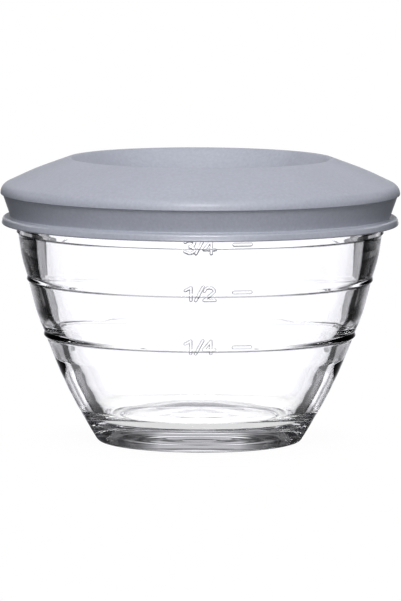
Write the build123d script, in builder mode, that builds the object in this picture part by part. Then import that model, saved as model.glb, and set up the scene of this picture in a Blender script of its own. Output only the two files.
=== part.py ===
"""Small pressed-glass prep bowl with a plastic lid that pushes onto it, in millimetres with +Z up.

The origin is the centre of the circle that the bowl stands on. The measuring marks face -Y.
Both pieces are turned about Z from profiles of corners. A corner has a radius from the axis, a height,
and either a rounding or a share: the part of its shorter side that a gentle bend takes up.
"""

import os
from math import atan2, hypot, tan
from typing import NamedTuple

from build123d import *

# Bowl: the foot that it stands on
base_radius = 25.35  # where the outside of the wall would meet the table
heel_rounding = 1.5
foot_width = 4.6  # flat ring between the heel and the hollow under the base
foot_hollow_depth = 0.6
foot_hollow_slope = 0.9
foot_hollow_rounding = 0.5

# Bowl: the three measuring rings, each placed from the one below it
quarter_ring_height = 26.7
quarter_ring_reach = 13.75  # how far the first ring stands out past the base
half_ring_rise = 13.9
half_ring_reach = 4.3
three_quarter_ring_rise = 11.9
three_quarter_ring_reach = 2.55
ring_ledge = 0.5  # how far the wall below a ring is set in
ring_ledge_height = 0.15
ring_lip = 0.15  # how far a ring stands out from the wall above it
ring_lip_height = 1.0
ring_edge_rounding = 0.3
ring_root_rounding = 0.2
ring_lip_rounding = 1.5

# Bowl: the belly of each tier's outside, as shares of the way out and up between the rings
lower_belly_out = 0.6
lower_belly_up = 0.49
lower_belly_share = 0.68
middle_belly_out = 0.468
middle_belly_up = 0.337
middle_belly_share = 0.58
upper_belly_out = 0.636
upper_belly_up = 0.409
upper_belly_share = 0.7

# Bowl: the inside, with its floor and the faint waist near the first ring
floor_thickness = 6.7
floor_inset = 1.35  # from the base's outer corner to the corner of the floor
floor_rounding = 6.0
waist_wall = 4.5  # from the first ring in to the top of the waist
waist_rise = 0.3  # from the first ring up to the top of the waist
waist_inset = 1.5  # from the top of the waist in to its foot
waist_height = 4.1
waist_share = 0.25

# Bowl: the bends of the inside, as shares of the way out and up between its other corners
lower_bend_out = 0.484
lower_bend_up = 0.451
lower_bend_share = 0.4
middle_bend_out = 0.413
middle_bend_up = 0.283
middle_bend_share = 0.35
upper_bend_out = 0.913
upper_bend_up = 0.612
upper_bend_share = 0.3

# Bowl: the rim, inside the lid
rim_rise = 8.0  # from the last ring to the top of the rim
rim_wall = 4.3
rim_edge_rounding = 1.0

# Measuring marks: a numeral and a dash that stand out of the glass across each ring
mark_relief = 0.18
mark_depth = 1.2  # how far the marks' roots reach into the wall
mark_height = 3.2
mark_half_width = 3.7
mark_stroke = 0.62
mark_lean = 0.3  # how far the marks' faces lean in below the ring
quarter_mark_drop = 0.5  # how far each numeral reaches below its ring
half_mark_drop = 0.9
three_quarter_mark_drop = 1.1
dash_start = 7.9
dash_length = 4.8
dash_height = 0.75
dash_above_ring = 1.05

# Lid: the skirt that goes over the rim, and the flange below it
lid_wall = 0.95
skirt_clearance = 0.35
skirt_depth = 5.55  # how far the lid reaches below the top of the rim
flange_width = 2.45
flange_thickness = 0.6
flange_edge_rounding = 0.25
flange_root_share = 0.15  # how far up the band the flange's upper face begins
flange_root_rounding = 0.9
flange_overlap = 0.33  # how far up the band's wall the flange is joined to it
band_rise = 1.2  # from the end of the skirt to the foot of the band
band_height = 5.75  # from its foot to the crease under the dome
band_flare = 2.25
crease_step = 0.57
crease_height = 0.22
crease_rounding = 0.12

# Lid: the dome, its ridge and the hollow that the foot of a second bowl stacks into
dome_edge_height = 1.9  # from the crease to the corner of the dome, before rounding
dome_edge_rounding = 2.75
dome_bend_out = 0.541  # the dome's bend, as shares of the way out and down from the ridge
dome_bend_down = 0.479
dome_bend_share = 0.35
ridge_rise = 7.2  # from the corner of the dome to the ridge, before rounding
ridge_rounding = 1.2
hollow_depth = 6.2
hollow_slope = 6.4
hollow_rounding = 3.0
stack_clearance = 0.85
inner_rounding_least = 0.4

# Lid: the ring that sits on the rim, and the plug inside the bowl's mouth
seat_width = 1.4
plug_clearance = 0.3
plug_wall = 1.2
plug_depth = 2.7
rib_overlap = 0.35  # how far the ring and the plug run up into the dome's wall


class Corner(NamedTuple):
    """One corner of a profile, before it is rounded."""

    r: float
    z: float
    rounding: float = 0
    share: float = 0


def between(low, high, out, up, share):
    """A gently bent corner at shares of the way out and up between two others."""
    return Corner(low.r + out * (high.r - low.r), low.z + up * (high.z - low.z), share=share)


def ring_corners(radius, height):
    """Corners of one measuring ring: its root, its edge and the foot of the wall above it."""
    return [
        Corner(radius - ring_ledge, height - ring_ledge_height, ring_root_rounding),
        Corner(radius, height, ring_edge_rounding),
        Corner(radius - ring_lip, height + ring_lip_height, ring_lip_rounding),
    ]


def bend_radius(before, corner, after):
    """The rounding of a corner: its own, or the one that takes its share of the shorter side."""
    if not corner.share:
        return corner.rounding
    run_in, rise_in = corner.r - before.r, corner.z - before.z
    run_out, rise_out = after.r - corner.r, after.z - corner.z
    cross = run_in * rise_out - rise_in * run_out
    turn = abs(atan2(cross, run_in * run_out + rise_in * rise_out))
    side = min(hypot(run_in, rise_in), hypot(run_out, rise_out))
    return corner.share * side / tan(turn / 2)


def offset_corners(corners, distance):
    """The same open profile moved to its right by a distance, with its corners mitred."""
    lines = []
    for start, end in zip(corners, corners[1:]):
        run, rise = end.r - start.r, end.z - start.z
        length = hypot(run, rise)
        moved_r = start.r + distance * rise / length
        moved_z = start.z - distance * run / length
        lines.append((moved_r, moved_z, run, rise))
    moved = [Corner(lines[0][0], lines[0][1])]
    for (ra, za, run_a, rise_a), (rb, zb, run_b, rise_b), corner in zip(lines, lines[1:], corners[1:-1]):
        turn = run_a * rise_b - rise_a * run_b
        along = ((rb - ra) * rise_b - (zb - za) * run_b) / turn
        inside = corner.rounding - distance if turn < 0 else corner.rounding + distance
        rounding = max(inside, inner_rounding_least)
        moved.append(Corner(ra + along * run_a, za + along * rise_a, rounding, corner.share))
    last_r, last_z, run, rise = lines[-1]
    moved.append(Corner(last_r + run, last_z + rise))
    return moved


def turned(corners):
    """A solid turned about Z from a closed profile of corners."""
    neighbours = zip(corners[-1:] + corners[:-1], corners, corners[1:] + corners[:1])
    with BuildPart() as solid:
        with BuildSketch(Plane.XZ):
            with BuildLine():
                FilletPolyline(
                    [(corner.r, corner.z) for corner in corners],
                    radius=[bend_radius(*three) for three in neighbours],
                    close=True,
                )
            make_face()
        revolve(axis=Axis.Z)
    return solid.part


# The rings of the bowl
quarter_ring_radius = base_radius + quarter_ring_reach
half_ring_height = quarter_ring_height + half_ring_rise
half_ring_radius = quarter_ring_radius + half_ring_reach
three_quarter_ring_height = half_ring_height + three_quarter_ring_rise
three_quarter_ring_radius = half_ring_radius + three_quarter_ring_reach
quarter_ring = ring_corners(quarter_ring_radius, quarter_ring_height)
half_ring = ring_corners(half_ring_radius, half_ring_height)
three_quarter_ring = ring_corners(three_quarter_ring_radius, three_quarter_ring_height)

# The outside of the bowl, from the middle of its base up to the last ring
foot_inner_radius = base_radius - foot_width
heel = Corner(base_radius, 0, heel_rounding)
middle_belly = between(
    quarter_ring[2], half_ring[0], middle_belly_out, middle_belly_up, middle_belly_share
)
upper_belly = between(
    half_ring[2], three_quarter_ring[0], upper_belly_out, upper_belly_up, upper_belly_share
)
bowl_outside = [
    Corner(0, foot_hollow_depth),
    Corner(foot_inner_radius - foot_hollow_slope, foot_hollow_depth, foot_hollow_rounding),
    Corner(foot_inner_radius, 0, foot_hollow_rounding),
    heel,
    between(heel, quarter_ring[0], lower_belly_out, lower_belly_up, lower_belly_share),
    *quarter_ring,
    middle_belly,
    *half_ring,
    upper_belly,
    *three_quarter_ring,
]

# The rim, straight up from the last ring and over to the mouth
rim_height = three_quarter_ring_height + rim_rise
rim_radius = three_quarter_ring[2].r
rim_inner_radius = rim_radius - rim_wall
rim_edge = Corner(rim_radius, rim_height, rim_edge_rounding)
mouth = Corner(rim_inner_radius, rim_height, rim_edge_rounding)

# The inside of the bowl, from below the mouth down to the middle of the floor
floor_corner = Corner(base_radius - floor_inset, floor_thickness, floor_rounding)
waist_top = Corner(quarter_ring_radius - waist_wall, quarter_ring_height + waist_rise, share=waist_share)
waist_foot = Corner(waist_top.r - waist_inset, waist_top.z - waist_height, share=waist_share)
upper_bend = between(waist_top, mouth, upper_bend_out, upper_bend_up, upper_bend_share)
bowl_inside = [
    upper_bend,
    between(waist_top, upper_bend, middle_bend_out, middle_bend_up, middle_bend_share),
    waist_top,
    waist_foot,
    between(floor_corner, waist_foot, lower_bend_out, lower_bend_up, lower_bend_share),
    floor_corner,
    Corner(0, floor_thickness),
]

# Strokes of the numerals, as shares of the mark's half width across and its height up
one_strokes = [[(-0.95, 0.76), (-0.58, 1.0), (-0.58, 0.0)]]
slash_strokes = [[(-0.27, -0.02), (0.21, 1.04)]]
two_arc = [(0.30, 0.72), (0.64, 1.0), (0.95, 0.68)]
two_strokes = [[(0.95, 0.68), (0.28, 0.0), (1.0, 0.0)]]
three_top_arc = [(-0.97, 0.84), (-0.36, 0.80), (-0.68, 0.53)]
three_foot_arc = [(-0.68, 0.53), (-0.33, 0.22), (-0.99, 0.14)]
four_strokes = [[(0.74, 0.0), (0.74, 1.0), (0.26, 0.30), (1.0, 0.30)]]

# Each mark: its ring, the corner above that, its drop, and the strokes and arcs of its numeral
marks = [
    (quarter_ring, middle_belly, quarter_mark_drop, one_strokes + four_strokes, []),
    (half_ring, upper_belly, half_mark_drop, one_strokes + two_strokes, [two_arc]),
    (
        three_quarter_ring,
        rim_edge,
        three_quarter_mark_drop,
        four_strokes,
        [three_top_arc, three_foot_arc],
    ),
]


def mark_solid(ring, above, drop, strokes, arcs):
    """One mark: its numeral and dash, cut to a skin just outside the wall at its ring."""
    root, edge, wall_above = ring
    bottom = edge.z - drop
    top = edge.z + mark_height
    wall_slope = (above.r - wall_above.r) / (above.z - wall_above.z)
    top_radius = wall_above.r + wall_slope * (top - wall_above.z)

    def place(point):
        across, up = point
        return (across * mark_half_width, bottom + up * mark_height)

    with BuildPart() as mark:
        with BuildSketch(Plane.XZ):
            for stroke in strokes + slash_strokes:
                points = [place(point) for point in stroke]
                with BuildLine():
                    Polyline(*points)
                trace(line_width=mark_stroke)
                with Locations(points[0], points[-1]):
                    Circle(mark_stroke / 2)
            for arc in arcs:
                start, middle, end = [place(point) for point in arc]
                with BuildLine():
                    ThreePointArc(start, middle, end)
                trace(line_width=mark_stroke)
                with Locations(start, end):
                    Circle(mark_stroke / 2)
            with Locations((dash_start + dash_length / 2, edge.z + dash_above_ring)):
                SlotOverall(dash_length, dash_height)
        extrude(amount=edge.r + mark_relief + mark_height)
        with BuildSketch(Plane.XZ):
            with BuildLine():
                Polyline(
                    (root.r - mark_depth, bottom - mark_stroke),
                    (edge.r + mark_relief - mark_lean, bottom - mark_stroke),
                    (edge.r + mark_relief, edge.z),
                    (top_radius + mark_relief, top),
                    (top_radius - mark_depth - ring_ledge, top),
                    close=True,
                )
            make_face()
        revolve(axis=Axis.Z, mode=Mode.INTERSECT)
    return mark.part


# Glass bowl: the turned body with the marks on it
bowl_body = turned(bowl_outside + [rim_edge, mouth] + bowl_inside)
mark_parts = [mark_solid(*mark) for mark in marks]
with BuildPart() as glass_bowl:
    add(bowl_body)
    for mark_part in mark_parts:
        add(mark_part)
glass_bowl.part.label = "glass_bowl"

# The skin of the lid, from the middle of its hollow out over the ridge and down to the flange
lid_bottom = rim_height - skirt_depth
skirt_inner_radius = rim_radius + skirt_clearance
band_foot = Corner(skirt_inner_radius + lid_wall, lid_bottom + band_rise)
band_top = Corner(band_foot.r + band_flare, band_foot.z + band_height, crease_rounding)
dome_foot = Corner(band_top.r + crease_step, band_top.z + crease_height, crease_rounding)
dome_edge = Corner(dome_foot.r, dome_foot.z + dome_edge_height, dome_edge_rounding)
hollow_radius = base_radius + stack_clearance
ridge = Corner(hollow_radius + hollow_slope, dome_edge.z + ridge_rise, ridge_rounding)
hollow_floor_height = ridge.z - hollow_depth
lid_dome = [
    Corner(0, hollow_floor_height),
    Corner(hollow_radius, hollow_floor_height, hollow_rounding),
    ridge,
    between(ridge, dome_edge, dome_bend_out, dome_bend_down, dome_bend_share),
    dome_edge,
]

# The underside keeps one wall thickness, and the crease doesn't show inside
lid_underside = offset_corners(lid_dome + [band_foot], lid_wall)
lid_shell = turned(lid_dome + [dome_foot, band_top, band_foot] + lid_underside[::-1])

# The flange, with its lower edge level with the end of the skirt
flange_radius = band_foot.r + flange_width
flange_root = between(band_foot, band_top, flange_root_share, flange_root_share, 0)
flange_top = between(band_foot, band_top, flange_overlap, flange_overlap, 0)
flange = turned(
    [
        Corner(skirt_inner_radius, lid_bottom, flange_edge_rounding),
        Corner(flange_radius, lid_bottom, flange_edge_rounding),
        Corner(flange_radius, lid_bottom + flange_thickness, flange_edge_rounding),
        Corner(flange_root.r, flange_root.z, flange_root_rounding),
        flange_top,
        Corner(flange_top.r - lid_wall, flange_top.z),
        Corner(skirt_inner_radius, band_foot.z),
    ]
)


def dome_underside_height(radius):
    """Height of the dome's underside at a radius outside its ridge."""
    for inner, outer in zip(lid_underside[2:], lid_underside[3:5]):
        if radius <= outer.r:
            break
    return inner.z + (outer.z - inner.z) * (radius - inner.r) / (outer.r - inner.r)


def hanging_ring(inner_radius, outer_radius, bottom):
    """A ring that hangs from the dome's underside, down to a flat lower edge."""
    top = dome_underside_height(outer_radius) + rib_overlap
    return turned(
        [
            Corner(inner_radius, bottom),
            Corner(outer_radius, bottom),
            Corner(outer_radius, top),
            Corner(inner_radius, dome_underside_height(inner_radius) + rib_overlap),
        ]
    )


# Lid: the shell, the flange, the ring that rests on the rim and the plug
seat_middle = (rim_radius + rim_inner_radius) / 2
seat_ring = hanging_ring(seat_middle - seat_width / 2, seat_middle + seat_width / 2, rim_height)
plug_radius = rim_inner_radius - plug_clearance
plug = hanging_ring(plug_radius - plug_wall, plug_radius, rim_height - plug_depth)
with BuildPart() as lid:
    add(lid_shell)
    add(flange)
    add(seat_ring)
    add(plug)
lid.part.label = "lid"

os.makedirs("parts", exist_ok=True)
export_step(glass_bowl.part, "parts/glass_bowl.step")
export_step(lid.part, "parts/lid.step")
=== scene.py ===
import math
from collections import namedtuple

import bpy
import numpy as np
from mathutils import Matrix, Vector


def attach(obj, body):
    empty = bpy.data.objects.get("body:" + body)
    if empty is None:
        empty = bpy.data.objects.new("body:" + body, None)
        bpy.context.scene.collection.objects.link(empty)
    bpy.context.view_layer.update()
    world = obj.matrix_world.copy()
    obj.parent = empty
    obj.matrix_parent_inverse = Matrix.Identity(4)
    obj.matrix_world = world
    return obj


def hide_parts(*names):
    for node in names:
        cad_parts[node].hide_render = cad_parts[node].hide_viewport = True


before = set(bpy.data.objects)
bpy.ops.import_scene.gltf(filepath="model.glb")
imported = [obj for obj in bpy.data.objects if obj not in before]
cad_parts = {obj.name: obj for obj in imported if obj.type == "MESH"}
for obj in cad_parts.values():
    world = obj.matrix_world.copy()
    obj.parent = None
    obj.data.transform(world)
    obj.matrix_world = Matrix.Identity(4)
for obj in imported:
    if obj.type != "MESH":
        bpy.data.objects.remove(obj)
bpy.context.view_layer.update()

# The two pieces are written in millimetres, and the studio around them in metres
MM = 0.001

# Arcs of a profile: the widest turn between two points, and the fewest steps
ARC_TURN = math.radians(8)
ARC_STEPS = 4
# Straight stretches of a profile end with one step that may be longer than the others
LAST_STEP = 1.6
# Turns and lengths too small to matter
NO_TURN = 1e-4
NO_LENGTH = 1e-6


def smooth(start, end, value):
    """Rises smoothly from 0 to 1 as the value goes from start to end."""
    t = np.clip((value - start) / (end - start), 0, 1)
    return t * t * (3 - 2 * t)


def round_off(before, corner, after):
    """Points along the arc that rounds off one corner of a profile."""
    point = np.array(corner[:2], float)
    rounding = corner[2]
    way_in = point - np.array(before[:2])
    way_out = np.array(after[:2]) - point
    way_in /= np.linalg.norm(way_in)
    way_out /= np.linalg.norm(way_out)
    cross = way_in[0] * way_out[1] - way_in[1] * way_out[0]
    turn = math.atan2(cross, way_in @ way_out)
    if rounding == 0 or abs(turn) < NO_TURN:
        return [point]
    start = point - way_in * rounding * math.tan(abs(turn) / 2)
    side = np.array([-way_in[1], way_in[0]]) * math.copysign(rounding, turn)
    centre = start + side
    steps = max(ARC_STEPS, math.ceil(abs(turn) / ARC_TURN))
    points = []
    for k in range(steps + 1):
        angle = turn * k / steps
        across = -side[0] * math.cos(angle) + side[1] * math.sin(angle)
        up = -side[0] * math.sin(angle) - side[1] * math.cos(angle)
        points.append(centre + np.array([across, up]))
    return points


def profile(corners, spacing):
    """Points along an open line of (radius, height, rounding) corners, about spacing(height) apart."""
    track = [np.array(corners[0][:2], float)]
    for before, corner, after in zip(corners, corners[1:], corners[2:]):
        track.extend(round_off(before, corner, after))
    track.append(np.array(corners[-1][:2], float))
    points = [track[0]]
    for start, end in zip(track, track[1:]):
        length = np.linalg.norm(end - start)
        if length < NO_LENGTH:
            continue
        along = 0.0
        gap = spacing(start[1])
        while along + LAST_STEP * gap < length:
            along += gap
            points.append(start + (end - start) * along / length)
            gap = spacing(points[-1][1])
        points.append(end)
    return np.array(points)


def turned_grid(points, angles):
    """Radius, height and angle of each point of a turned profile, apart from its two ends on the axis."""
    r, a = np.meshgrid(points[1:-1, 0], angles, indexing="ij")
    z = np.repeat(points[1:-1, 1:2], len(angles), axis=1)
    return r, z, a


def add_object(name, data):
    thing = bpy.data.objects.new(name, data)
    bpy.context.scene.collection.objects.link(thing)
    return thing


def turned_piece(name, r, z, a, first_z, last_z):
    """A closed mesh of rings about Z, with a fan to the axis at both ends. Angles run from -Y towards +X."""
    points = np.stack([r * np.sin(a), -r * np.cos(a), z], axis=-1).reshape(-1, 3)
    points = np.concatenate([points, [[0, 0, first_z], [0, 0, last_z]]]) * MM
    rows, columns = r.shape
    grid = np.arange(rows * columns).reshape(rows, columns)
    right = np.roll(grid, -1, axis=1)
    quads = np.stack([grid[:-1], right[:-1], right[1:], grid[1:]], axis=-1).reshape(-1, 4)
    first = np.full(columns, rows * columns)
    first_fan = np.stack([first, right[0], grid[0]], axis=-1)
    last_fan = np.stack([grid[-1], right[-1], first + 1], axis=-1)
    mesh = bpy.data.meshes.new(name)
    mesh.from_pydata(points.tolist(), [], quads.tolist() + first_fan.tolist() + last_fan.tolist())
    mesh.polygons.foreach_set("use_smooth", [True] * len(mesh.polygons))
    mesh.update()
    return add_object(name, mesh)


# Glass bowl: heights of the rings, the rim and the floor inside, and the radius at the top of the rim
QUARTER_RING = 26.7
HALF_RING = 40.6
THREE_QUARTER_RING = 52.5
RIM = 60.5
INNER_FLOOR = 6.7
RIM_RADIUS = 43.65

BOWL_OUTSIDE = [
    # Hollow under the foot, and the foot
    (0, 0.6, 0),
    (19.85, 0.6, 0.5),
    (20.75, 0, 0.5),
    (25.35, 0, 1.5),
    # Lower tier, up to the ledge and the edge of the 1/4 ring
    (33.3, 13.0, 107),
    (38.38, 26.03, 0.15),
    (39.1, 26.75, 0.5),
    # Middle tier and the 1/2 ring
    (38.95, 27.7, 1.5),
    (40.8, 32.0, 33),
    (42.88, 40.05, 0.15),
    (43.35, 40.7, 0.4),
    # Upper tier and the 3/4 ring
    (43.25, 41.6, 1.5),
    (44.65, 46.0, 35),
    (45.55, 52.4, 0.1),
    (45.95, THREE_QUARTER_RING, 0.15),
    # Neck and rim
    (45.8, 53.5, 1.5),
    (45.8, RIM, 1.0),
    (RIM_RADIUS, RIM, 0),
]
BOWL_INSIDE = [
    (RIM_RADIUS, RIM, 0),
    (41.5, RIM, 1.0),
    # Wall, with a faint waist near the 1/4 ring
    (40.43, 45.64, 40),
    (36.96, 31.93, 17),
    (34.57, 27.14, 33),
    (32.61, 22.12, 11),
    (28.4, 13.92, 118),
    # Floor
    (24.0, INNER_FLOOR, 6.7),
    (0, INNER_FLOOR, 0),
]

# Measuring marks: sizes of the numerals and of the dash beside them
MARK_HEIGHT = 3.2
MARK_HALF_WIDTH = 3.7
MARK_STROKE = 0.62
DASH_START = 7.9
DASH_LENGTH = 4.8
DASH_HEIGHT = 0.75
DASH_RISE = 1.05
# How far the marks stand out, half the width of their flanks, and the width of their painted dark outline
MARK_RELIEF = 0.25
MARK_FLANK = 0.12
PAINTED_OUTLINE_WIDTH = 0.11
# How dark a painted outline is on a ring without a painted line in front, and what a dark painted line adds
PAINTED_OUTLINE_BASE = 0.4
PAINTED_OUTLINE_GAIN = 0.45
# Strokes across and up, as shares of half the width and of the height
ONE = [(-0.95, 0.76), (-0.58, 1.0), (-0.58, 0.0)]
TWO = [
    (0.30, 0.72), (0.36, 0.88), (0.50, 0.98), (0.64, 1.0), (0.80, 0.96), (0.92, 0.84), (0.95, 0.68),
    (0.28, 0.0), (1.0, 0.0),
]
THREE = [
    (-0.97, 0.84), (-0.86, 0.97), (-0.66, 1.0), (-0.46, 0.94), (-0.36, 0.80), (-0.44, 0.63), (-0.68, 0.53),
    (-0.42, 0.42), (-0.33, 0.22), (-0.48, 0.06), (-0.72, 0.01), (-0.99, 0.14),
]
FOUR = [(0.74, 0.0), (0.74, 1.0), (0.26, 0.30), (1.0, 0.30)]
SLASH = [(-0.27, -0.02), (0.21, 1.04)]
# Each mark: its ring, how far below it the numerals begin, how dark the ring's painted shade line is in
# front, and the strokes
Mark = namedtuple("Mark", "ring drop shade strokes")
MARKS = [
    Mark(QUARTER_RING, 0.5, 1.0, [ONE, SLASH, FOUR]),
    Mark(HALF_RING, 0.9, 0.85, [ONE, SLASH, TWO]),
    Mark(THREE_QUARTER_RING, 1.1, 0.0, [THREE, SLASH, FOUR]),
]
# Where a mark can be: this far from its ring, and on the side where the cosine of the angle is above this
MARK_REACH = 5
MARK_SIDE = 0.8

# Painted shade line of a ring: how far below the ring it lies, its width in front and what the sides add to
# it
PAINTED_LINE_DROP = 0.1
PAINTED_LINE_WIDTH = 0.2
PAINTED_LINE_GROWTH = 0.1
# Sines of the angles between which the front of a painted line turns into its sides
PAINTED_LINE_TURNS = (0.35, 0.65)

# Waves of the pressed glass: height, lengths and seed, and how much of the inner ones the floor has
OUTER_WAVES = (0.002, [7, 8, 9, 11, 12, 14, 17], 3)
INNER_WAVES = (0.004, [6, 7, 9, 10, 12, 15, 18], 8)
FLOOR_WAVES = 0.4
# The walls' waves begin at this radius, and end softly at the foot and the rim
WAVE_INNER_RADIUS = 15
WAVE_MARGIN = 3.0
# Rings pressed into the floor inside
FLOOR_RING_RELIEF = 0.03
FLOOR_RING_SPACING = 7.0
# Radii between which the floor's rings and waves rise from nothing to full height
FLOOR_RING_EDGE = (22, 18)
FLOOR_WAVE_EDGE = (24, 18)

# Steps along the profiles, fine around the marks and up to this far above and below them
FINE_STEP = 0.11
OUTSIDE_STEP = 1.2
INSIDE_STEP = 1.25
MARK_MARGIN = 0.6
# Columns in degrees from the front: fine across the numerals, and at the left and right ends of the dashes
COLUMN_STARTS = [-6.1, 6.3, 9.4, 12.3, 15.4, 19.5]
COLUMN_COUNTS = [116, 5, 21, 5, 29, 115]


def outside_step(z):
    """Fine steps where a mark stands. The coarse ones below it end where the fine ones begin."""
    for mark in MARKS:
        bottom = mark.ring - mark.drop - MARK_MARGIN
        if z < bottom + MARK_HEIGHT + 2 * MARK_MARGIN:
            return min(OUTSIDE_STEP, max(FINE_STEP, bottom - z))
    return OUTSIDE_STEP


def bowl_angles():
    ends = COLUMN_STARTS[1:] + [COLUMN_STARTS[0] + 360]
    stretches = zip(COLUMN_STARTS, ends, COLUMN_COUNTS)
    return np.radians(np.concatenate([np.linspace(*stretch, endpoint=False) for stretch in stretches]))


def stroke_distance(x, z, path):
    """How far each (x, z) lies from a path of straight strokes."""
    nearest = np.full(x.shape, np.inf)
    for (x0, z0), (x1, z1) in zip(path, path[1:]):
        wide = x1 - x0
        tall = z1 - z0
        t = np.clip(((x - x0) * wide + (z - z0) * tall) / (wide ** 2 + tall ** 2), 0, 1)
        nearest = np.minimum(nearest, np.hypot(x - x0 - t * wide, z - z0 - t * tall))
    return nearest


def mark_distance(mark, x, z):
    """How far each (x, z) lies outside a mark's numerals and dash. Inside them it is negative."""
    nearest = np.full(x.shape, np.inf)
    bottom = mark.ring - mark.drop
    for stroke in mark.strokes:
        path = [(across * MARK_HALF_WIDTH, bottom + up * MARK_HEIGHT) for across, up in stroke]
        nearest = np.minimum(nearest, stroke_distance(x, z, path) - MARK_STROKE / 2)
    half = DASH_HEIGHT / 2
    dash_z = mark.ring + DASH_RISE
    dash = [(DASH_START + half, dash_z), (DASH_START + DASH_LENGTH - half, dash_z)]
    return np.minimum(nearest, stroke_distance(x, z, dash) - half)


def painted_ring_line(mark, z, a):
    """How dark a ring's painted shade line is: as its mark says in front, and dark and wide at the sides."""
    sides = smooth(*PAINTED_LINE_TURNS, abs(np.sin(a)))
    away = abs(z - mark.ring + PAINTED_LINE_DROP) / (PAINTED_LINE_WIDTH + PAINTED_LINE_GROWTH * sides)
    return (mark.shade + (1 - mark.shade) * sides) * np.exp(-away ** (2 + 2 * sides))


def ripple(x, y, z, height, lengths, seed):
    """A smooth uneven field, made of waves of the given lengths in all directions."""
    random = np.random.default_rng(seed)
    total = 0
    for length in lengths:
        direction = random.normal(size=3)
        direction *= 2 * math.pi / length / np.linalg.norm(direction)
        phase = random.uniform(0, 6.28)
        total = total + np.sin(x * direction[0] + y * direction[1] + z * direction[2] + phase)
    return height * (total / math.sqrt(len(lengths)))


def press_glass(r, z, a, outside):
    """New radius and height of the bowl's points, with the marks and waves, and how much painted shade each
    gets.
    """
    x = r * np.sin(a)
    y = -r * np.cos(a)
    new_r = r
    painted_shade = np.zeros(r.shape)
    for mark in MARKS:
        near = outside & (np.cos(a) > MARK_SIDE) & (abs(z - mark.ring) < MARK_REACH)
        distance = np.full(r.shape, np.inf)
        distance[near] = mark_distance(mark, x[near], z[near])
        new_r = new_r + MARK_RELIEF * smooth(MARK_FLANK, -MARK_FLANK, distance)
        # Painted shade: a dark outline painted around each mark's numerals and dash
        painted_outline = (PAINTED_OUTLINE_BASE + PAINTED_OUTLINE_GAIN * mark.shade) * np.exp(-(distance / PAINTED_OUTLINE_WIDTH) ** 2)
        painted_shade = np.maximum(painted_shade, painted_outline)
        # Painted shade: a dark line painted under each ring, darker and wider at the sides
        painted_shade = np.maximum(painted_shade, np.where(outside, painted_ring_line(mark, z, a), 0))
    outer_waves = ripple(x, y, z, *OUTER_WAVES)
    inner_waves = ripple(x, y, z, *INNER_WAVES)
    wavy = smooth(0, WAVE_MARGIN, z) * smooth(RIM, RIM - WAVE_MARGIN, z) * (r > WAVE_INNER_RADIUS)
    new_r = new_r + wavy * np.where(outside, -abs(outer_waves), inner_waves)
    floor_waves = FLOOR_WAVES * inner_waves * smooth(*FLOOR_WAVE_EDGE, r)
    floor_rings = FLOOR_RING_RELIEF * np.cos(2 * math.pi * r / FLOOR_RING_SPACING)
    new_z = np.where(outside, z, z + floor_waves + floor_rings * smooth(*FLOOR_RING_EDGE, r))
    return new_r, new_z, painted_shade


def pressed_bowl():
    outer = profile(BOWL_OUTSIDE, outside_step)
    inner = profile(BOWL_INSIDE, lambda z: INSIDE_STEP)
    points = np.concatenate([outer, inner[1:]])
    r, z, a = turned_grid(points, bowl_angles())
    outside = np.zeros(r.shape, bool)
    outside[:len(outer) - 1] = True
    r, z, painted_shade = press_glass(r, z, a, outside)
    piece = turned_piece("bowl_glass", r, z, a, points[0, 1], points[-1, 1])
    # Painted shade of each point, kept for the glass material to paint grey
    painted_shade_map = piece.data.attributes.new("painted_edge_shade", "FLOAT", "POINT")
    painted_shade_map.data.foreach_set("value", np.append(painted_shade.reshape(-1), [0, 0]).astype(np.float32))
    return piece


bowl = pressed_bowl()
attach(bowl, "bowl")
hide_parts("glass_bowl")

# Lid: heights of the flange's upper and lower face
FLANGE_TOP = 56.4
FLANGE_FOOT = 54.55
LID_STEP = 0.9
LID_COLUMN = 1.5

LID_PROFILE = [
    # Hollow
    (0, 65.02, 0),
    (26.2, 65.02, 3.0),
    # Ridge and dome
    (32.6, 71.215, 1.2),
    (41.97, 67.77, 60),
    (49.92, 64.02, 2.75),
    # Crease under the dome, and the band below it
    (49.92, 62.12, 0.12),
    (49.35, 61.90, 0.12),
    # Flange
    (47.44, FLANGE_TOP, 0.3),
    (49.3, FLANGE_TOP, 0.75),
    (49.65, FLANGE_FOOT, 0.3),
    # Inside of the skirt
    (46.15, FLANGE_FOOT, 0.25),
    (46.2, 56.45, 0.3),
    (48.74, 63.53, 1.2),
    # Ring that sits on the bowl's rim
    (44.35, 65.60, 0.3),
    (44.35, 60.54, 0.15),
    (42.95, 60.54, 0.15),
    (42.95, 66.26, 0.3),
    # Plug in the bowl's mouth
    (41.2, 67.04, 0.3),
    (41.2, 57.8, 0.3),
    (40.0, 57.8, 0.3),
    (40.0, 67.48, 0.3),
    # Underside of the ridge and the hollow
    (32.83, 70.12, 0.4),
    (26.58, 64.07, 3.5),
    (0, 64.07, 0),
]


def moulded_lid():
    points = profile(LID_PROFILE, lambda z: LID_STEP)
    angles = np.radians(np.arange(0, 360, LID_COLUMN))
    return turned_piece("lid_shell", *turned_grid(points, angles), points[0, 1], points[-1, 1])


lid = moulded_lid()
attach(lid, "lid")
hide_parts("lid")

# Places of the inputs and of the result on a Mix node, for numbers and for colours
MIX_SOCKETS = {"FLOAT": ((0, 2, 3), 0), "RGBA": ((0, 6, 7), 2)}
WHITE = (1.0, 1.0, 1.0, 1)


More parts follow.
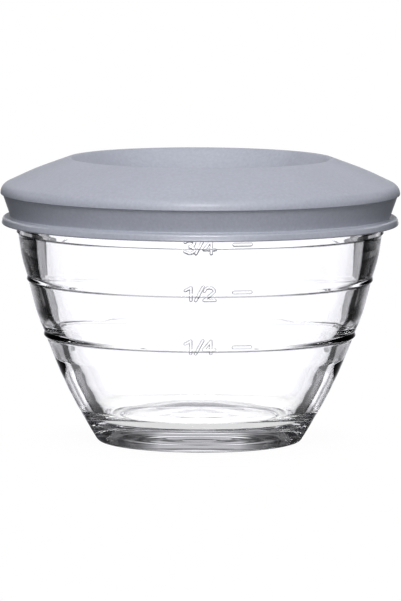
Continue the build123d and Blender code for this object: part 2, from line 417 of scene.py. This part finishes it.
class Nodes:
    """Adds nodes to one node tree. A value is a number, a colour or another node's output."""

    def __init__(self, tree):
        self.tree = tree

    def feed(self, socket, value):
        if isinstance(value, bpy.types.NodeSocket):
            self.tree.links.new(value, socket)
        else:
            socket.default_value = value

    def fill(self, node, **values):
        """Sets a node's properties and inputs. The name of an input has _ in place of a space."""
        for key, value in values.items():
            if hasattr(node, key):
                setattr(node, key, value)
            else:
                self.feed(node.inputs[key.replace("_", " ")], value)

    def add(self, kind, **values):
        node = self.tree.nodes.new("ShaderNode" + kind)
        self.fill(node, **values)
        return node

    def calc(self, operation, *terms):
        node = self.add("Math", operation=operation)
        for socket, term in zip(node.inputs, terms):
            self.feed(socket, term)
        return node.outputs[0]

    def above(self, value, limit):
        """1 where the value is above the limit, and 0 elsewhere."""
        return self.calc("GREATER_THAN", value, limit)

    def step(self, value, start, end):
        """Rises smoothly from 0 to 1 as the value goes from start to end."""
        node = self.add("MapRange", interpolation_type="SMOOTHSTEP")
        self.fill(node, Value=value, From_Min=start, From_Max=end)
        return node.outputs["Result"]

    def falloff(self, value, start, rate):
        """1 up to the start, and less and less beyond it."""
        past = self.calc("MAXIMUM", self.calc("SUBTRACT", value, start), 0.0)
        return self.calc("EXPONENT", self.calc("MULTIPLY", past, -rate))

    def blend(self, share, low, high, kind="FLOAT"):
        """Runs from low to high as the share goes from 0 to 1."""
        places, result = MIX_SOCKETS[kind]
        node = self.add("Mix", data_type=kind)
        for place, value in zip(places, (share, low, high)):
            self.feed(node.inputs[place], value)
        return node.outputs[result]

    def blend_shaders(self, share, low, high):
        node = self.add("MixShader")
        for socket, value in zip(node.inputs, (share, low, high)):
            self.feed(socket, value)
        return node.outputs[0]

    def ramp(self, value, stops):
        """A colour that runs through the (position, colour) stops as the value rises."""
        node = self.add("ValToRGB", Fac=value)
        elements = node.color_ramp.elements
        for _ in stops[2:]:
            elements.new(0.5)
        for element, (position, colour) in zip(elements, stops):
            element.position = position
            element.color = colour
        return node.outputs["Color"]


def new_material(name):
    material = bpy.data.materials.new(name)
    material.use_nodes = True
    return material, Nodes(material.node_tree)


def principled(nodes):
    return next(node for node in nodes.tree.nodes if node.type == "BSDF_PRINCIPLED")


# Painted shade: the grey painted on the marks' outlines and the rings' lines, where the clear glass looks
# dark
PAINTED_SHADE_GREY = (0.02, 0.02, 0.022, 1)


def clear_glass():
    """Clear pressed glass, with a faint skin of fine ripples and with painted shade in grey along the marks'
    outlines and ring lines.
    """
    material, nodes = new_material("clear_glass")
    place = nodes.add("TexCoord").outputs["Object"]
    skin = nodes.add("TexNoise", Vector=place, Scale=230.0, Detail=2.0).outputs["Fac"]
    bump = nodes.add("Bump", Strength=0.012, Distance=0.0002, Height=skin).outputs["Normal"]
    painted_shade_map = nodes.add("Attribute", attribute_name="painted_edge_shade").outputs["Fac"]
    # Painted shade: the grey is painted only where the glass is hit from outside
    near_side = nodes.calc("SUBTRACT", 1.0, nodes.add("NewGeometry").outputs["Backfacing"])
    colour = nodes.blend(nodes.calc("MULTIPLY", painted_shade_map, near_side), WHITE, PAINTED_SHADE_GREY, "RGBA")
    shader = principled(nodes)
    nodes.fill(shader, Base_Color=colour, Transmission_Weight=1.0, IOR=1.5, Roughness=0.0, Normal=bump)
    return material


# Grey-blue of the lid, from its darker to its lighter spots
LID_STOPS = [(0.3, (0.352, 0.370, 0.430, 1)), (0.7, (0.424, 0.445, 0.515, 1))]
# The sheen is full on the flange's polished edge, which begins this far below its upper face
POLISH_MARGIN = 0.2
SHEEN = 0.22
EDGE_SHEEN = 1.0


def lid_plastic():
    """Soft grey-blue plastic, with a fine matte grain and a faint unevenness of colour."""
    material, nodes = new_material("lid_plastic")
    place = nodes.add("TexCoord").outputs["Object"]
    cloud = nodes.add("TexNoise", Vector=place, Scale=60.0, Detail=3.0).outputs["Fac"]
    speckle = nodes.add("TexNoise", Vector=place, Scale=1300.0, Detail=2.0).outputs["Fac"]
    grain = nodes.add("TexNoise", Vector=place, Scale=2600.0, Detail=2.0).outputs["Fac"]
    colour = nodes.ramp(nodes.blend(0.6, cloud, speckle), LID_STOPS)
    rough = nodes.add("MapRange", Value=grain, To_Min=0.46, To_Max=0.56).outputs["Result"]
    bump = nodes.add("Bump", Strength=0.4, Distance=0.0001, Height=grain).outputs["Normal"]
    height = nodes.add("SeparateXYZ", Vector=place).outputs["Z"]
    polished = nodes.step(height, FLANGE_TOP * MM, (FLANGE_TOP - POLISH_MARGIN) * MM)
    coat = nodes.blend(polished, SHEEN, EDGE_SHEEN)
    shader = principled(nodes)
    nodes.fill(shader, Base_Color=colour, Roughness=rough, Normal=bump, Specular_IOR_Level=0.4)
    nodes.fill(shader, Coat_Weight=coat, Coat_Roughness=0.18)
    return material


bowl.data.materials.append(clear_glass())
lid.data.materials.append(lid_plastic())

# Floor: a disc that lies just below the foot
FLOOR_RADIUS = 0.3
FLOOR_SIDES = 96
FLOOR_DROP = 0.00005
# Radii between which the shadow ends, the painted light under the foot ends, and the glass sees past the
# floor
SHADOW_EDGE = (0.025, 0.05)
PAINTED_FOOT_LIGHT_EDGE = (0.024, 0.032)
CLEAR_EDGE = (0.03, 0.045)
# How white the floor is near the foot, and the tone of its paper to the camera and to other light
NEAR_WHITENESS = 0.97
SEEN_PAPER = 0.9
UNSEEN_PAPER = 0.2
# Tones of the floor: evenly bright through the glass, and in reflections painted light inside the foot and
# painted shadow past it
FLOOR_THROUGH = 1.3
PAINTED_LIGHT_UNDER_FOOT = 0.8
PAINTED_SHADOW_PAST_FOOT = 0.05
# Painted shadow: tones of the floor in reflections on the outside of the glass, and painted shade after
# several reflections
PAINTED_SHADOW_OUTSIDE = 0.03
PAINTED_SHADE_DEEP = 0.1


def floor_paper():
    """White to the camera, with the bowl's shadow close around it, plain matte to other light, and painted
    light and shadow near the foot for the glass.
    """
    material, nodes = new_material("floor_paper")
    nodes.tree.nodes.clear()
    path = nodes.add("LightPath").outputs
    seen = path["Is Camera Ray"]
    place = nodes.add("TexCoord").outputs["Object"]
    radius = nodes.add("VectorMath", operation="LENGTH", Vector=place).outputs["Value"]

    # To the camera: almost all white, with a little of the matte paper near the foot
    direct = nodes.calc("LESS_THAN", path["Diffuse Depth"], 0.5)
    whiteness = nodes.blend(nodes.step(radius, *SHADOW_EDGE), NEAR_WHITENESS, 1.0)
    matte = nodes.add("BsdfDiffuse", Color=nodes.blend(seen, UNSEEN_PAPER, SEEN_PAPER)).outputs[0]
    white = nodes.add("Emission", Color=WHITE, Strength=1.0).outputs[0]
    lit = nodes.blend_shaders(nodes.calc("MULTIPLY", direct, whiteness), matte, white)

    # To the glass: white through it, painted light under the foot and dark painted shadow past it in its
    # reflections, and clear further out, where the studio shows
    # Painted light under the foot and painted shadow past it, as the glass's reflections see the floor
    painted_foot_tone = nodes.blend(nodes.step(radius, *PAINTED_FOOT_LIGHT_EDGE), PAINTED_LIGHT_UNDER_FOOT, PAINTED_SHADOW_PAST_FOOT)
    painted_foot_tone = nodes.blend(nodes.above(path["Transmission Depth"], 0.5), PAINTED_SHADOW_OUTSIDE, painted_foot_tone)
    painted_foot_tone = nodes.blend(nodes.above(path["Glossy Depth"], 1.5), painted_foot_tone, PAINTED_SHADE_DEEP)
    tone = nodes.blend(nodes.above(path["Glossy Depth"], 0.5), FLOOR_THROUGH, painted_foot_tone)
    bright_and_painted_floor = nodes.add("Emission", Color=WHITE, Strength=tone).outputs[0]
    clear = nodes.add("BsdfTransparent").outputs[0]
    below = nodes.blend_shaders(nodes.step(radius, *CLEAR_EDGE), bright_and_painted_floor, clear)

    unseen = nodes.calc("SUBTRACT", direct, seen)
    nodes.add("OutputMaterial", Surface=nodes.blend_shaders(unseen, lit, below))
    return material


floor_mesh = bpy.data.meshes.new("floor")
around = np.linspace(0, 2 * math.pi, FLOOR_SIDES, endpoint=False)
edge = [(FLOOR_RADIUS * math.cos(t), FLOOR_RADIUS * math.sin(t), -FLOOR_DROP) for t in around]
floor_mesh.from_pydata(edge, [], [list(range(FLOOR_SIDES))])
floor_mesh.materials.append(floor_paper())
floor = add_object("floor", floor_mesh)

# Studio: tones by direction, where z is its rise, and turn_x and turn_y tell where it points on the level
BRIGHT = 1.3
# Panels at the sides, which show through the glass: where they begin and how far down they reach
PANEL_START = 0.292
PANEL_FOOT = -0.26
# Tones of a panel from where it begins to its middle and its outer part, and where those lie
PANEL_TONES = (0.25, 0.5, 1.2)
PANEL_MIDDLE = 0.5
PANEL_OUTER = (0.52, 0.65)
# Layers seen through the glass, each over the last: the rises where it begins and is full, and its tone
LAYERS = [(0.36, 0.42, 0.25), (0.5, 0.6, BRIGHT), (-0.42, -0.5, 0.5)]
# Backdrop behind the bowl, in reflections: its half width and how fast it darkens beyond
BACKDROP = (0.139, 12.5)
# Table behind the bowl, far to near: rises where a part begins and is full, turns where it ends, and tone
TABLE = [
    ((-0.2, -0.25), (0.18, 0.22), 1.4),
    ((-0.32, -0.36), (0.38, 0.41), 1.5),
    ((-0.41, -0.44), (0.26, 0.3), 1.4),
]
# Tones beside the table, which change with the turn beside its far part and with the rise beside its near one
FAR_SIDE_TURNS = (0.5, 0.55)
FAR_SIDE_TONES = (0.5, 0.03)
MIDDLE_SIDE_TONE = 0.05
NEAR_SIDE_RISES = (-0.6, -0.85)
NEAR_SIDE_TONES = (0.25, 0.8)
# Level reflections: the half width of each main direction and how fast it darkens beyond
MAIN_DIRECTION = (0.25, 8.0)
# How far the stripes move along with a direction's rise and its turn
STRIPE_RISE = 4.1
STRIPE_TURN = 0.4
# Stripes in the level reflections: position from the horizon up, and tone
STRIPES = [
    (0.0, 0.6), (0.44, 0.55), (0.51, 0.75), (0.56, 0.13), (0.61, 0.4), (0.66, 0.12), (0.74, 0.2),
    (0.8, 1.3), (0.88, 1.3), (0.93, 0.25), (1.0, 0.6),
]
# High reflections: turns where the light in front and behind ends, and rises where all becomes white
HIGH_TURNS = (0.7, 0.5)
OVERHEAD = (0.65, 0.75)
# Rises where the low reflections give way to the level ones, and those to the high ones
LEVEL_START = (0.0, 0.07)
HIGH_START = (0.24, 0.32)
# A trace of light in the darkest reflections, and the light on matte surfaces, plain and through glass
DARKEST = 0.004
MATTE_LIGHT = 0.05
GLASS_LIGHT = 1.2
# Faint blue of the light, and not of the white that the camera sees
LIGHT_COLOUR = (0.95, 0.95, 1.0, 1)


def seen_through(nodes, z, turn_x):
    """White, with panels that turn paler outwards, and with grey above and below."""
    inner, middle, outer = PANEL_TONES
    panel = nodes.blend(nodes.step(turn_x, PANEL_START, PANEL_MIDDLE), inner, middle)
    panel = nodes.blend(nodes.step(turn_x, *PANEL_OUTER), panel, outer)
    beside = nodes.calc("MULTIPLY", nodes.above(turn_x, PANEL_START), nodes.above(z, PANEL_FOOT))
    tone = nodes.blend(beside, BRIGHT, panel)
    for start, end, layer in LAYERS:
        tone = nodes.blend(nodes.step(z, start, end), tone, layer)
    return tone


def mirrored_low(nodes, path, y, z, turn_x):
    """Reflections from below the level: a bright backdrop and table behind the bowl, and dark elsewhere."""
    behind = nodes.blend(nodes.above(y, 0.0), 1.0, turn_x)
    backdrop = nodes.falloff(behind, *BACKDROP)
    far_side = nodes.blend(nodes.step(behind, *FAR_SIDE_TURNS), *FAR_SIDE_TONES)
    near_side = nodes.blend(nodes.step(z, *NEAR_SIDE_RISES), *NEAR_SIDE_TONES)
    low = backdrop
    for (rises, turns, tone), side in zip(TABLE, (far_side, MIDDLE_SIDE_TONE, near_side)):
        part = nodes.blend(nodes.step(behind, *turns), tone, side)
        low = nodes.blend(nodes.step(z, *rises), low, part)
    return nodes.blend(nodes.above(path["Transmission Depth"], 0.5), backdrop, low)


def mirrored_middle(nodes, z, turn_x, turn_y):
    """Reflections from the bowl's level: stripes that fade between the four main directions."""
    turn = nodes.calc("MINIMUM", turn_x, turn_y)
    rise = nodes.calc("MULTIPLY", z, STRIPE_RISE)
    place = nodes.calc("ADD", rise, nodes.calc("MULTIPLY", turn, STRIPE_TURN))
    stripes = nodes.ramp(place, [(position, (tone, tone, tone, 1)) for position, tone in STRIPES])
    return nodes.calc("MULTIPLY", nodes.falloff(turn, *MAIN_DIRECTION), stripes)


def studio():
    """White to the camera, with one set of tones for light through the glass and another for reflections."""
    world = bpy.data.worlds.new("studio")
    world.use_nodes = True
    nodes = Nodes(world.node_tree)
    nodes.tree.nodes.clear()
    path = nodes.add("LightPath").outputs
    seen = path["Is Camera Ray"]
    direction = nodes.add("TexCoord").outputs["Generated"]
    x, y, z = nodes.add("SeparateXYZ", Vector=direction).outputs
    level = nodes.calc("SQRT", nodes.calc("SUBTRACT", 1.0, nodes.calc("MULTIPLY", z, z)))
    turn_x = nodes.calc("DIVIDE", nodes.calc("ABSOLUTE", x), level)
    turn_y = nodes.calc("DIVIDE", nodes.calc("ABSOLUTE", y), level)

    low = mirrored_low(nodes, path, y, z, turn_x)
    middle = mirrored_middle(nodes, z, turn_x, turn_y)
    high = nodes.calc("MAXIMUM", nodes.step(turn_x, *HIGH_TURNS), nodes.step(z, *OVERHEAD))
    mirrored = nodes.blend(nodes.step(z, *LEVEL_START), low, middle)
    mirrored = nodes.blend(nodes.step(z, *HIGH_START), mirrored, high)
    mirrored = nodes.calc("ADD", mirrored, DARKEST)

    # Light counts as reflected if it hasn't also passed through both walls
    one_wall = nodes.calc("LESS_THAN", path["Transmission Depth"], 3.5)
    reflected = nodes.calc("MULTIPLY", nodes.above(path["Glossy Depth"], 0.5), one_wall)
    strength = nodes.blend(reflected, seen_through(nodes, z, turn_x), mirrored)
    matte_light = nodes.blend(nodes.above(path["Transmission Depth"], 0.5), MATTE_LIGHT, GLASS_LIGHT)
    strength = nodes.blend(nodes.above(path["Diffuse Depth"], 0.5), strength, matte_light)
    strength = nodes.blend(seen, strength, 1.0)
    colour = nodes.blend(seen, LIGHT_COLOUR, WHITE, "RGBA")
    sky = nodes.add("Background", Color=colour, Strength=strength).outputs[0]
    nodes.add("OutputWorld", Surface=sky)
    return world


bpy.context.scene.world = studio()

# Lamps, all turned to the middle of the bowl: width and depth, watts, place
LAMP_TARGET = (0, 0, 0.05)
LAMPS = {
    "top_softbox": ((0.9, 0.9), 1.6, (0.0, -0.25, 1.1)),
    "key_softbox": ((0.6, 0.6), 12.8, (0.0, -1.0, 1.05)),
    "front_softbox": ((1.2, 0.3), 7.7, (0.0, -1.5, 0.25)),
    "left_softbox": ((0.5, 0.5), 0.9, (-0.9, 0.55, 0.5)),
    "right_softbox": ((0.5, 0.5), 0.9, (0.9, 0.55, 0.5)),
}
for name, (size, watts, place) in LAMPS.items():
    light = bpy.data.lights.new(name, "AREA")
    light.shape = "ELLIPSE"
    light.size, light.size_y = size
    light.energy = watts
    lamp = add_object(name, light)
    lamp.location = place
    lamp.rotation_euler = (Vector(LAMP_TARGET) - Vector(place)).to_track_quat("-Z", "Y").to_euler()

# Camera at the photograph's viewing angle. Its place and focal length are in pixels of the photograph
PIXEL = 0.2505 * MM
IMAGE_HEIGHT = 601
FOCAL_LENGTH = 5654
CAMERA_PLACE = (0.7, -5620, 735)
CAMERA_DIP = 6.04
CAMERA_ROLL = 0.25
SENSOR = 36
camera_data = bpy.data.cameras.new("camera")
camera_data.sensor_width = SENSOR
camera_data.lens = SENSOR * FOCAL_LENGTH / IMAGE_HEIGHT
camera_data.clip_end = 20
camera = add_object("camera", camera_data)
camera.location = [distance * PIXEL for distance in CAMERA_PLACE]
pitch = Matrix.Rotation(math.radians(90 - CAMERA_DIP), 3, "X")
roll = Matrix.Rotation(math.radians(CAMERA_ROLL), 3, "Z")
camera.rotation_euler = (pitch @ roll).to_euler()
bpy.context.scene.camera = camera
bpy.context.scene.view_settings.view_transform = "Standard"

# Light goes round many times inside the thick glass before it comes out
bpy.context.scene.cycles.max_bounces = 24
bpy.context.scene.cycles.glossy_bounces = 16
bpy.context.scene.cycles.transmission_bounces = 16
